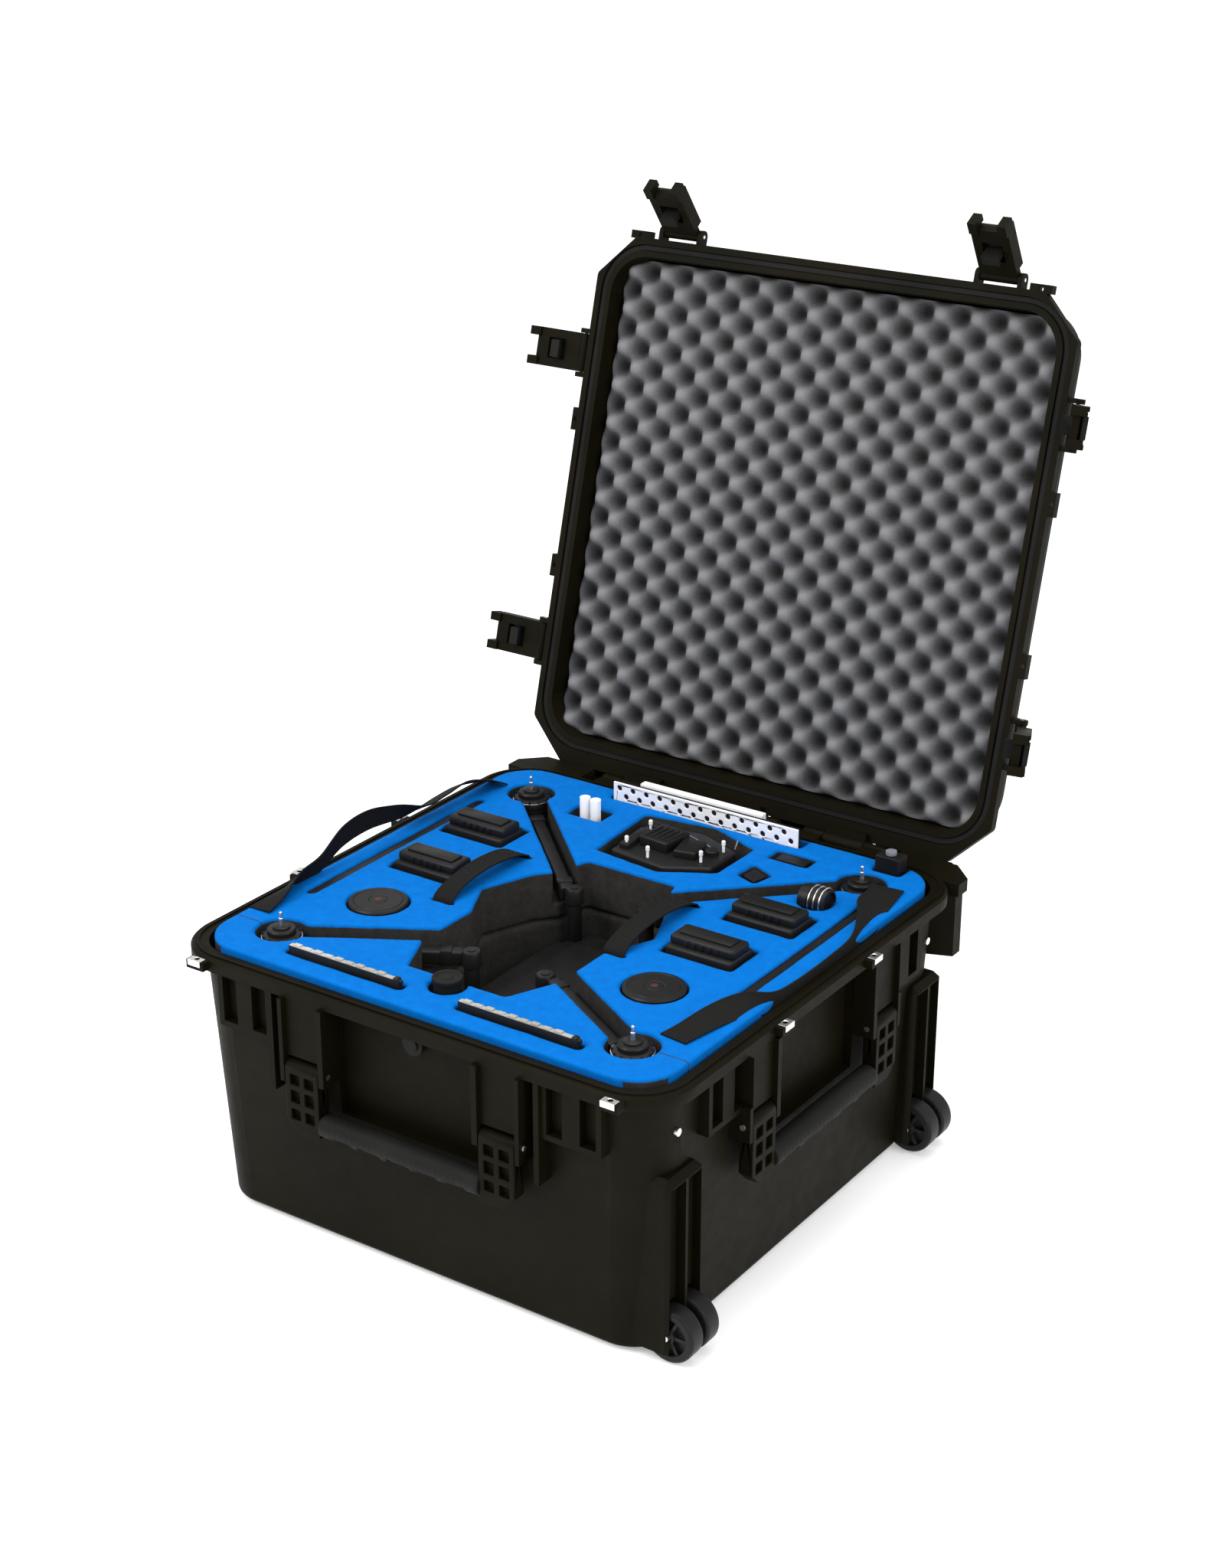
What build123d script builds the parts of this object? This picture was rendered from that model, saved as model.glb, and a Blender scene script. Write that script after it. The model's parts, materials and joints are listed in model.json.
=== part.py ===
from build123d import *
import math
import os

# Wheeled carrying case for a folding quadcopter, lid open, packed with its foam and kit.
# Millimetres. X runs along the front face, Y to the back, Z up from the ground under the
# centre of the base. Everything on the lid is drawn closed and then swung open.

# ---- driving sizes ----
RIM_Z = 295.0            # mating face of base and lid
FLANGE_Z = 281.0         # underside of the base flange
FLANGE_HALF = 298.0      # half width of the base flange
WALL_HALF_TOP = 283.0    # half width of the outer wall under the flange
WALL_HALF_LOW = 270.0    # half width of the outer wall at the floor
FOOT = 3.5               # height of the feet under the floor of the tub
FLOOR_Z = 16.0           # inside floor
CAVITY_TOP = 280.0       # half width of the inside, at the rim (22 in across)
CAVITY_LOW = 266.0       # half width of the inside, at the floor
CORNER = 50.0            # corner radius of the walls
LID_HALF = 301.0         # half width of the lid flange
LID_FLANGE_Z = 309.0     # top of the lid flange, lid closed
LID_TOP_Z = 355.0        # top of the closed lid
LID_INNER_Z = 350.0      # ceiling of the lid
LID_BACK = 311.0         # back edge of the lid flange
LID_CHAMFER = 46.0       # 45 degree cut on the lid flange corners
LID_OPEN = 105.0         # opening angle of the lid
HINGE_Y = 318.0
HINGE_Z = 288.0
HINGE_R = 8.0
HINGE_PIN_R = 3.0
HINGE_X = (-135.0, 0.0, 135.0)
PIN_GAP = 0.05           # radial running clearance of every pivot

TRAY_TOP = 302.0         # blue foam stands a little proud of the rim
TRAY_LOW = 245.0
TRAY_HALF = 276.6
FOAM_PEAK = 324.0        # lid foam, lid closed
MOTOR = 215.0            # motor centres, along X and along Y
MOTOR_POCKET_R = 27.0
ARM_FLOOR = 262.0        # floor of the arm channels
BODY_FLOOR = 160.0       # floor of the quadcopter's body cavity
BODY_TOP = 226.0         # top of its body
ARM_LOW = 269.0          # underside of its arms

HANDLE_PIVOT_Z = 206.0
HANDLE_PIVOT_Y = -295.0
HANDLE_ARM_IN = 98.5
HANDLE_ARM_OUT = 140.5
HANDLE_GRIP_Z = 151.0
GRIP_R = 13.0
RECESS_HALF = 91.0

LATCH_FRONT = 199.0      # latch centres from the middle of the front
LATCH_SIDE = 170.0       # latch centres from the middle of each side
LATCH_PIVOT_Y = -310.0
LATCH_PIVOT_Z = 304.0
LATCH_HALF = 22.0
LATCH_PIN_R = 2.0
TRIGGER_PIVOT_Y = -317.0
TRIGGER_PIVOT_Z = 282.0
TRIGGER_PIN_R = 2.5

WHEEL_R = 28.5
WHEEL_W = 21.0
WHEEL_X = 285.0
WHEEL_Z = 30.0
WHEEL_Y = (221.0, 249.0)
AXLE_R = 3.0
AXLE_MID = 235.0         # middle of each axle, along Y
AXLE_LENGTH = 56.0
HOUSING_X = 290.0        # outer face of the wheel housings
HOUSING_Y = (205.0, 264.0)
HOUSING_TOP = 200.0
WELL_X = 254.0           # inner end of the wheel wells
WELL_TOP = 62.0

PADLOCK_FRONT = 250.0    # padlock loops from the middle of the front
PADLOCK_SIDE = 86.0      # padlock loops from the middle of each side
PADLOCK_R = 2.8
PLATE_Z = 293.2          # top of the drilled tabs, under their wear plates
BACK_BLOCK = (204.0, 291.0)   # the two blocks on the back, from x to x
BACK_DEPTH = 323.0
RIVET = (281.0, 240.0, 242.0)
LOOP_X = (-122.0, 93.0)       # webbing loops
LOOP_END = 69.0

FACES = {"front": 0.0, "right": 90.0, "left": -90.0}
HINGE_LINE = Axis((0, HINGE_Y, HINGE_Z), (1, 0, 0))

# name, face, distance along the face seen from outside, opening at rest from closed
LATCHES = (
    ("front_left", "front", -LATCH_FRONT, 38.0),
    ("front_right", "front", LATCH_FRONT, 45.0),
    ("right_front", "right", -LATCH_SIDE, 24.0),
    ("right_back", "right", LATCH_SIDE, 24.0),
    ("left_back", "left", -LATCH_SIDE - 8, 90.0),
    ("left_front", "left", LATCH_SIDE - 8, 90.0),
)
LATCH_FACES = (("front", LATCH_FRONT), ("right", LATCH_SIDE), ("left", LATCH_SIDE))
PADLOCK_FACES = (("front", PADLOCK_FRONT), ("right", PADLOCK_SIDE), ("left", PADLOCK_SIDE))

os.makedirs("parts", exist_ok=True)


# ---- helpers ----
def save(shape, name):
    shape.label = name
    export_step(shape, "parts/" + name + ".step")


def box(x0, x1, y0, y1, z0, z1, mode=Mode.ADD):
    """A box between two corners, in the part being built."""
    with Locations(((x0 + x1) / 2, (y0 + y1) / 2, (z0 + z1) / 2)):
        Box(x1 - x0, y1 - y0, z1 - z0, mode=mode)


def rod(p, radius, length, direction, mode=Mode.ADD):
    """A cylinder centred on p, along X, Y or Z."""
    turn = {"X": (0, 90, 0), "Y": (90, 0, 0), "Z": (0, 0, 0)}[direction]
    with Locations(Location(p, turn)):
        Cylinder(radius, length, mode=mode)


def square_loft(half0, r0, z0, half1, r1, z1, mode=Mode.ADD):
    """A tapered block with rounded corners, from z0 to z1."""
    with BuildSketch(Plane.XY.offset(z0)) as low:
        RectangleRounded(2 * half0, 2 * half0, r0)
    with BuildSketch(Plane.XY.offset(z1)) as high:
        RectangleRounded(2 * half1, 2 * half1, r1)
    loft([low.sketch.face(), high.sketch.face()], mode=mode)


def square_ring(outer, inner, radius, z0, z1):
    """A square ring with rounded corners."""
    with BuildSketch(Plane.XY.offset(z0)) as flat:
        RectangleRounded(2 * outer, 2 * outer, radius)
        RectangleRounded(2 * inner, 2 * inner, radius - (outer - inner), mode=Mode.SUBTRACT)
    extrude(flat.sketch, amount=z1 - z0)


def on_face(shape, face):
    """Turn a shape drawn on the front onto another face."""
    return shape.rotate(Axis.Z, FACES[face])


def opened(shape):
    """Swing a shape of the closed lid to its open place."""
    return shape.rotate(HINGE_LINE, -LID_OPEN)


def prism(points, z0, z1, mode=Mode.ADD):
    """An upright prism on a closed outline."""
    with BuildSketch(Plane.XY.offset(z0)) as flat:
        with BuildLine():
            Polyline(*points, close=True)
        make_face()
    extrude(flat.sketch, amount=z1 - z0, mode=mode)


# ---- outlines of the foam cut-outs, seen from above ----
BODY_OUTLINE = [(-60, -205), (60, -205), (84, -150), (84, -70), (108, -20), (84, 40),
                (66, 60), (56, 100), (-56, 100), (-66, 60), (-84, 40), (-108, -20), (-84, -70), (-84, -150)]
CONTROLLER_OUTLINE = [(-66, 128), (20, 118), (76, 150), (76, 226), (10, 252), (-74, 240)]
BATTERY_SPOTS = ((168, -10), (180, 86), (-182, -6), (-196, 100))
DISC_SPOTS = ((168, -108), (-176, -108))
SIDE_BARS = (246, -250)


# ---- base ----
def face_features(latch_at):
    """Recess, handle blocks, latch bays and padlock tabs of one face, as (added, cut) parts."""
    with BuildPart() as added:
        box(-RECESS_HALF - 6, RECESS_HALF + 6, -276, -263, 152, FLANGE_Z)
        for side in (-1, 1):
            inner = sorted((side * RECESS_HALF, side * (HANDLE_ARM_IN - 1)))
            box(inner[0], inner[1], -303, -270, 196, FLANGE_Z)
            outer = sorted((side * (HANDLE_ARM_OUT + 1), side * 146.5))
            box(outer[0], outer[1], -303, -270, 190, FLANGE_Z)
            block = sorted((side * RECESS_HALF, side * 148))
            box(block[0], block[1], -297, -272, 218, FLANGE_Z)
            guard = sorted((side * 159, side * 165))
            if latch_at > 180:
                box(guard[0], guard[1], -297, -270, 172, FLANGE_Z)
            bay = sorted((side * (latch_at - 34), side * (latch_at + 34)))
            if latch_at < 180:
                bay[0] = max(bay[0], 146.5) if side > 0 else bay[0]
                bay[1] = min(bay[1], -146.5) if side < 0 else bay[1]
            box(bay[0], bay[1], -293, -270, 222, FLANGE_Z)
    with BuildPart() as cut:
        box(-RECESS_HALF, RECESS_HALF, -310, -268, 158, 276)
        for side in (-1, 1):
            for near in (-28, 10):
                slot = sorted((side * (latch_at + near), side * (latch_at + near + 18)))
                box(slot[0], slot[1], -310, -283, 228, FLANGE_Z)
    return added.part, cut.part


def padlock_tabs(places):
    """The two drilled tabs on the base flange of one face."""
    with BuildPart() as tab:
        for side in (-1, 1):
            box(side * places - 11, side * places + 11, -307, -296, 284, PLATE_Z)
            rod((side * places, -302.5, 290), PADLOCK_R, 14, "Z", Mode.SUBTRACT)
    return tab.part


def wheel_housing(sy):
    """The block that stands out of the wall over one pair of wheels."""
    wy = sorted((sy * HOUSING_Y[0], sy * HOUSING_Y[1]))
    with BuildPart() as housing:
        box(245, HOUSING_X, wy[0], wy[1], 12, HOUSING_TOP)
        fillet(housing.edges().filter_by(Axis.Z).group_by(Axis.X)[-1], 8)
        chamfer(housing.edges().group_by(Axis.Z)[-1].sort_by(Axis.X)[-1], 7)
    return housing.part


def back_block(sx):
    """One of the two blocks on the back, with the flange carried out over it."""
    inner, outer = BACK_BLOCK
    low = [(inner, 268), (250, 268), (outer, 284), (outer, 300), (outer - 23, BACK_DEPTH), (inner, BACK_DEPTH)]
    top = [(inner, 280), (outer + 5, 280), (outer + 5, 300), (outer - 20, 325), (inner, 325)]
    with BuildPart() as block:
        prism(low, 208, FLANGE_Z + 1)
        prism(top, FLANGE_Z, RIM_Z)
        for z in (224, 240, 256):
            box(inner + 6, outer - 30, BACK_DEPTH - 4, BACK_DEPTH + 2, z - 2, z + 2)
    if sx < 0:
        return block.part.mirror(Plane.YZ)
    return block.part


def rear_shelf():
    """The lipped shelf behind the hinge, between the knuckles of the lid."""
    with BuildPart() as shelf:
        for x0, x1 in ((-255, -161), (-109, -26), (26, 109), (161, 255)):
            box(x0, x1, 281, 345, 273, 281)
            box(x0, x1, 342, 345, 280, 286)
    return shelf.part


def recess_wall():
    """The inside skin that stands in the tub behind a handle recess."""
    with BuildPart() as wall:
        box(-RECESS_HALF - 6, RECESS_HALF + 6, -276, -263, 152, FLANGE_Z)
        box(-RECESS_HALF - 6, RECESS_HALF + 6, -281.5, -263, 271, FLANGE_Z + 2)
    return wall.part


def seal_ring(outer, inner, radius, z0, z1):
    """A ring that follows the rim: the bead, its groove or the gasket."""
    with BuildPart() as ring:
        square_ring(outer, inner, radius, z0, z1)
    return ring.part


def handle_rods(length):
    """The two pivot pins of one handle."""
    with BuildPart() as pins:
        for side in (-1, 1):
            rod((side * 119.5, HANDLE_PIVOT_Y, HANDLE_PIVOT_Z), 3.0, length, "X")
    return pins.part


with BuildPart() as base_shell:
    square_loft(WALL_HALF_LOW, CORNER - 4, FOOT, WALL_HALF_TOP, CORNER, FLANGE_Z + 1)
    fillet(base_shell.edges().group_by(Axis.Z)[0], 7)
    square_loft(FLANGE_HALF, 62, FLANGE_Z, FLANGE_HALF, 62, RIM_Z)
    chamfer(base_shell.edges().filter_by(Plane.XY).group_by(Axis.Z)[-1], 2.5)
    for sx in (-1, 1):
        for sy in (-1, 1):
            foot_x = sorted((sx * 160, sx * 250))
            foot_y = sorted((sy * 160, sy * 250))
            box(foot_x[0], foot_x[1], foot_y[0], foot_y[1], 0, FOOT + 4)
    fillet(base_shell.edges().filter_by(Axis.Z).group_by(SortBy.LENGTH)[0], 8)
    rod((0, 0, FOOT / 2 + 1), 45, FOOT + 2, "Z")
    for y in (-90, 90):
        box(-150, 150, y - 6, y + 6, 2, FOOT + 2)
    for face, latch_at in LATCH_FACES:
        plus, minus = face_features(latch_at)
        add(on_face(plus, face))
    for side in (-1, 1):
        add(wheel_housing(side))
        add(back_block(side))
    # shelf and knuckles of the hinge
    add(rear_shelf())
    for x in HINGE_X:
        for end in (-1, 1):
            kx = sorted((x + end * 25.5, x + end * 50))
            box(kx[0], kx[1], 272, HINGE_Y, HINGE_Z - HINGE_R, RIM_Z - 0.6)
            rod(((kx[0] + kx[1]) / 2, HINGE_Y, HINGE_Z), HINGE_R, kx[1] - kx[0], "X")
    # the inside
    square_loft(CAVITY_LOW, CORNER - 8, FLOOR_Z, CAVITY_TOP, CORNER - 5, RIM_Z + 1, mode=Mode.SUBTRACT)
    for face in FACES:
        add(on_face(recess_wall(), face))
    for sy in (-1, 1):
        wy = sorted((sy * HOUSING_Y[0], sy * 256))
        box(WELL_X - 4, 271, wy[0], wy[1], 10, WELL_TOP + 4)
    for face, latch_at in LATCH_FACES:
        plus, minus = face_features(latch_at)
        add(on_face(minus, face), mode=Mode.SUBTRACT)
    add(seal_ring(291.4, 288.6, 54, RIM_Z - 1, RIM_Z + 1.6))
    for face, places in PADLOCK_FACES:
        add(on_face(padlock_tabs(places), face))
    # wheel wells and the channels above them, with a rib left standing between the wheels
    for sy in (-1, 1):
        for y in WHEEL_Y:
            wy = sorted((sy * (y - WHEEL_W / 2 - 1.5), sy * (y + WHEEL_W / 2 + 1.5)))
            box(WELL_X, 320, wy[0], wy[1], -1, WELL_TOP, Mode.SUBTRACT)
            box(279.5, 320, wy[0], wy[1], WELL_TOP - 2, HOUSING_TOP - 8, Mode.SUBTRACT)
        rod((WHEEL_X, sy * AXLE_MID, WHEEL_Z), AXLE_R, AXLE_LENGTH, "Y", Mode.SUBTRACT)
    for x in HINGE_X:
        rod((x, HINGE_Y, HINGE_Z), HINGE_PIN_R, 101, "X", Mode.SUBTRACT)
    for face in FACES:
        add(on_face(handle_rods(58), face), mode=Mode.SUBTRACT)
    for sy in (-1, 1):
        rod((RIVET[0], sy * RIVET[1], RIVET[2]), 4.0, 5, "X", Mode.SUBTRACT)
    # seat of the pressure valve, in the middle of the front recess
    rod((0, -268, 262), 9.0, 3, "Y", Mode.SUBTRACT)
save(base_shell.part, "base_shell")


def padlock_plate(places):
    """The two bright wear plates on the drilled tabs of one face."""
    with BuildPart() as plate:
        for side in (-1, 1):
            box(side * places - 8, side * places + 8, -308.4, -299, PLATE_Z, PLATE_Z + 1.4)
            box(side * places - 8, side * places + 8, -308.4, -307, 288, PLATE_Z + 1)
            rod((side * places, -302.5, PLATE_Z), PADLOCK_R, 8, "Z", Mode.SUBTRACT)
    return plate.part


with BuildPart() as padlock_plates:
    for face, places in PADLOCK_FACES:
        add(on_face(padlock_plate(places), face))
save(padlock_plates.part, "padlock_plates")

with BuildPart() as hinge_pins:
    for x in HINGE_X:
        rod((x, HINGE_Y, HINGE_Z), HINGE_PIN_R, 100, "X")
save(hinge_pins.part, "hinge_pins")

with BuildPart() as wheel_axles:
    for sy in (-1, 1):
        rod((WHEEL_X, sy * AXLE_MID, WHEEL_Z), AXLE_R, AXLE_LENGTH, "Y")
save(wheel_axles.part, "wheel_axles")

with BuildPart() as handle_pins:
    for face in FACES:
        add(on_face(handle_rods(57), face))
save(handle_pins.part, "handle_pins")

with BuildPart() as pressure_valve:
    rod((0, -269.5, 262), 9.0, 5, "Y")
    rod((0, -273.5, 262), 12.0, 4, "Y")
    rod((0, -276.5, 262), 7.0, 3, "Y")
save(pressure_valve.part, "pressure_valve")

with BuildPart() as side_rivets:
    for sy in (-1, 1):
        rod((RIVET[0], sy * RIVET[1], RIVET[2]), 4.0, 5, "X")
save(side_rivets.part, "side_rivets")


# ---- wheels ----
def wheel(y):
    """A tyred wheel with a dished, spoked face on both sides."""
    with BuildPart() as body:
        rod((WHEEL_X, y, WHEEL_Z), WHEEL_R, WHEEL_W, "Y")
        fillet(body.edges().filter_by(GeomType.CIRCLE), 3.5)
        for side in (-1, 1):
            rod((WHEEL_X, y + side * WHEEL_W / 2, WHEEL_Z), 20.5, 12, "Y", Mode.SUBTRACT)
        rod((WHEEL_X, y, WHEEL_Z), 7.5, WHEEL_W, "Y")
        for turn in range(6):
            angle = turn * 60
            with Locations(Location((WHEEL_X, y, WHEEL_Z), (0, angle, 0))):
                with Locations((13.5, 0, 0)):
                    Box(15, WHEEL_W - 3, 3.5)
        rod((WHEEL_X, y, WHEEL_Z), AXLE_R + PIN_GAP, WHEEL_W + 4, "Y", Mode.SUBTRACT)
    return body.part


save(wheel(-WHEEL_Y[1]), "wheel_front_outer")
save(wheel(-WHEEL_Y[0]), "wheel_front_inner")
save(wheel(WHEEL_Y[0]), "wheel_back_inner")
save(wheel(WHEEL_Y[1]), "wheel_back_outer")


# ---- bail handles ----
def handle_frame():
    """Two pocketed arms on the pivots and the core that joins them under the grip."""
    with BuildPart() as frame:
        for side in (-1, 1):
            arm = sorted((side * HANDLE_ARM_IN, side * HANDLE_ARM_OUT))
            box(arm[0], arm[1], -303, -287, 137, HANDLE_PIVOT_Z)
        outer = frame.edges().filter_by(Axis.Y).group_by(Axis.Z)[0]
        chamfer(outer.sort_by(Axis.X)[0], 14)
        outer = frame.edges().filter_by(Axis.Y).group_by(Axis.Z)[0]
        chamfer(outer.sort_by(Axis.X)[-1], 14)
        for side in (-1, 1):
            middle = side * (HANDLE_ARM_IN + HANDLE_ARM_OUT) / 2
            rod((middle, HANDLE_PIVOT_Y, HANDLE_PIVOT_Z), 8, HANDLE_ARM_OUT - HANDLE_ARM_IN, "X")
            for dx in (-9, 9):
                for z, tall in ((195, 12), (176, 14), (156, 12)):
                    with Locations((middle + dx, -302, z)):
                        Box(12, 10, tall, mode=Mode.SUBTRACT)
            rod((middle, HANDLE_PIVOT_Y, HANDLE_PIVOT_Z), 3.0 + PIN_GAP, 60, "X", Mode.SUBTRACT)
        rod((0, HANDLE_PIVOT_Y, HANDLE_GRIP_Z), 7, 2 * HANDLE_ARM_IN + 1, "X")
    return frame.part


def handle_grip():
    """A ribbed rubber sleeve round the core, with five slots under it."""
    length = 2 * HANDLE_ARM_IN - 1
    with BuildPart() as sleeve:
        rod((0, HANDLE_PIVOT_Y, HANDLE_GRIP_Z), GRIP_R - 1, length, "X")
        for i in range(14):
            x = -length / 2 + 8 + i * (length - 16) / 13
            rod((x, HANDLE_PIVOT_Y, HANDLE_GRIP_Z), GRIP_R, 7, "X")
        for i in range(5):
            x = -70 + i * 35
            box(x - 12, x + 12, -310, -294, HANDLE_GRIP_Z - 14, HANDLE_GRIP_Z - 9, Mode.SUBTRACT)
        rod((0, HANDLE_PIVOT_Y, HANDLE_GRIP_Z), 7, length + 2, "X", Mode.SUBTRACT)
    return sleeve.part


for face in FACES:
    save(on_face(handle_frame(), face), "handle_frame_" + face)
    save(on_face(handle_grip(), face), "handle_grip_" + face)


# ---- lid, drawn closed ----
def lid_outline():
    c = LID_CHAMFER
    h = LID_HALF
    back = LID_BACK
    front = [(-h, -h + c), (-h + c, -h), (h - c, -h), (h, -h + c)]
    return front + [(h, back - c), (h - c, back), (-h + c, back), (-h, back - c)]


def latch_lugs(at):
    """The pair of lugs that holds one latch."""
    with BuildPart() as lugs:
        for side in (-1, 1):
            lug = sorted((at + side * (LATCH_HALF + 0.6), at + side * (LATCH_HALF + 6)))
            middle = (lug[0] + lug[1]) / 2
            box(lug[0], lug[1], LATCH_PIVOT_Y, -298, 297, 311)
            rod((middle, LATCH_PIVOT_Y, LATCH_PIVOT_Z), 7, lug[1] - lug[0], "X")
            rod((middle, LATCH_PIVOT_Y, LATCH_PIVOT_Z), LATCH_PIN_R, 20, "X", Mode.SUBTRACT)
    return lugs.part


def lid_tabs(places):
    """The two drilled padlock tabs on the lid flange of one face."""
    with BuildPart() as tab:
        for side in (-1, 1):
            box(side * places - 13, side * places + 13, -308, -299, RIM_Z + 0.5, 305)
            rod((side * places, -303, 300), PADLOCK_R, 14, "Z", Mode.SUBTRACT)
    return tab.part


def latch_pin(at):
    """The pin through one latch and its lugs."""
    with BuildPart() as pin:
        rod((at, LATCH_PIVOT_Y, LATCH_PIVOT_Z), LATCH_PIN_R, 2 * LATCH_HALF + 12, "X")
    return pin.part


with BuildPart() as lid_shell:
    prism(lid_outline(), RIM_Z + 0.4, LID_FLANGE_Z)
    fillet(lid_shell.edges().filter_by(Axis.Z), 8)
    chamfer(lid_shell.edges().group_by(Axis.Z)[-1], 3)
    square_loft(290, 54, LID_FLANGE_Z - 1, 284, CORNER, LID_TOP_Z)
    fillet(lid_shell.edges().group_by(Axis.Z)[-1], 8)
    for x in (-180, -60, 60, 180):
        with Locations((x, 0, LID_TOP_Z)):
            Box(50, 430, 5)
    square_loft(CAVITY_TOP, CORNER - 5, RIM_Z - 1, 276, CORNER - 8, LID_INNER_Z, mode=Mode.SUBTRACT)
    add(seal_ring(293.6, 286.4, 56, RIM_Z - 1, RIM_Z + 6), mode=Mode.SUBTRACT)
    for name, face, at, rest in LATCHES:
        add(on_face(latch_lugs(at), face))
    for face, places in PADLOCK_FACES:
        add(on_face(lid_tabs(places), face))
    for x in HINGE_X:
        box(x - 24.5, x + 24.5, 302, HINGE_Y + HINGE_R, HINGE_Z, LID_FLANGE_Z)
        box(x - 24.5, x + 24.5, 296, 303, RIM_Z + 1, LID_FLANGE_Z)
        rod((x, HINGE_Y, HINGE_Z), HINGE_R, 49, "X")
        rod((x, HINGE_Y, HINGE_Z), HINGE_PIN_R + PIN_GAP, 60, "X", Mode.SUBTRACT)
save(opened(lid_shell.part), "lid_shell")

save(opened(seal_ring(293.4, 286.6, 55.8, RIM_Z + 3, RIM_Z + 6)), "lid_gasket")

with BuildPart() as lid_foam:
    with BuildSketch(Plane.XY.offset(FOAM_PEAK)):
        RectangleRounded(546, 546, 38)
    extrude(amount=LID_INNER_Z - FOAM_PEAK)
save(opened(lid_foam.part), "lid_foam")

with BuildPart() as latch_pins:
    for name, face, at, rest in LATCHES:
        add(on_face(latch_pin(at), face))
save(opened(latch_pins.part), "latch_pins")


# ---- latches ----
def latch_body():
    """A trigger latch hanging closed, its middle on x = 0."""
    with BuildPart() as body:
        box(-LATCH_HALF, LATCH_HALF, -314, -306, 240, LATCH_PIVOT_Z)
        rod((0, LATCH_PIVOT_Y, LATCH_PIVOT_Z), 6, 2 * LATCH_HALF, "X")
        for side in (-1, 1):
            cheek = sorted((side * 17, side * LATCH_HALF))
            box(cheek[0], cheek[1], -322, -306, 236, 292)
            horn = sorted((side * 12, side * LATCH_HALF))
            box(horn[0], horn[1], -320, -303, 230, 244)
        for x in (-10, 0, 10):
            box(x - 1, x + 1, -315.5, -313, 286, 300)
        box(-12, 12, -330, -300, 256, 280, Mode.SUBTRACT)
        box(-16.5, 16.5, -330, -314, 238, 292, Mode.SUBTRACT)
        rod((0, TRIGGER_PIVOT_Y, TRIGGER_PIVOT_Z), TRIGGER_PIN_R, 38, "X", Mode.SUBTRACT)
        rod((0, LATCH_PIVOT_Y, LATCH_PIVOT_Z), LATCH_PIN_R + PIN_GAP, 60, "X", Mode.SUBTRACT)
    return body.part


def latch_trigger():
    """The sprung inner lever with its hook and its two stub axles."""
    with BuildPart() as lever:
        box(-16, 16, -321, -317, 243, TRIGGER_PIVOT_Z)
        box(-11, 11, -321, -314, 258, 279)
        rod((0, TRIGGER_PIVOT_Y, TRIGGER_PIVOT_Z), 2.7, 32, "X")
        rod((0, TRIGGER_PIVOT_Y, TRIGGER_PIVOT_Z), TRIGGER_PIN_R - PIN_GAP, 37, "X")
        box(-10, 10, -316, -296, 266, 272)
        box(-10, 10, -299, -296, 266, 277)
        for z in (247, 252, 257):
            box(-12, 12, -322.5, -320, z - 1, z + 1)
    return lever.part


for name, face, at, rest in LATCHES:
    pivot = Axis((0, LATCH_PIVOT_Y, LATCH_PIVOT_Z), (-1, 0, 0))
    for piece, suffix in ((latch_body(), "latch_"), (latch_trigger(), "latch_trigger_")):
        turned = piece.rotate(pivot, rest)
        placed = on_face(turned.moved(Location((at, 0, 0))), face)
        save(opened(placed), suffix + name)


# ---- foam ----
def recess_notch(z0, z1):
    """Room in the foam for the skin behind a handle recess."""
    with BuildPart() as notch:
        box(-RECESS_HALF - 8, RECESS_HALF + 8, -290, -261, z0, z1)
    return notch.part


def arm_start(sx, sy):
    """Where an arm of the quadcopter leaves its body."""
    return (sx * 55.0, -120.0 if sy < 0 else 60.0)


def arm_bar(sx, sy, gap, width, z0, z1, mode=Mode.ADD):
    """A straight bar from the body towards a motor, stopping short of its centre by gap."""
    start = arm_start(sx, sy)
    run = (sx * MOTOR - start[0], sy * MOTOR - start[1])
    whole = math.hypot(run[0], run[1])
    share = (whole - gap) / whole
    middle = (start[0] + run[0] * share / 2, start[1] + run[1] * share / 2, (z0 + z1) / 2)
    with Locations(Location(middle, (0, 0, math.degrees(math.atan2(run[1], run[0]))))):
        Box(whole * share, width, z1 - z0, mode=mode)


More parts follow.
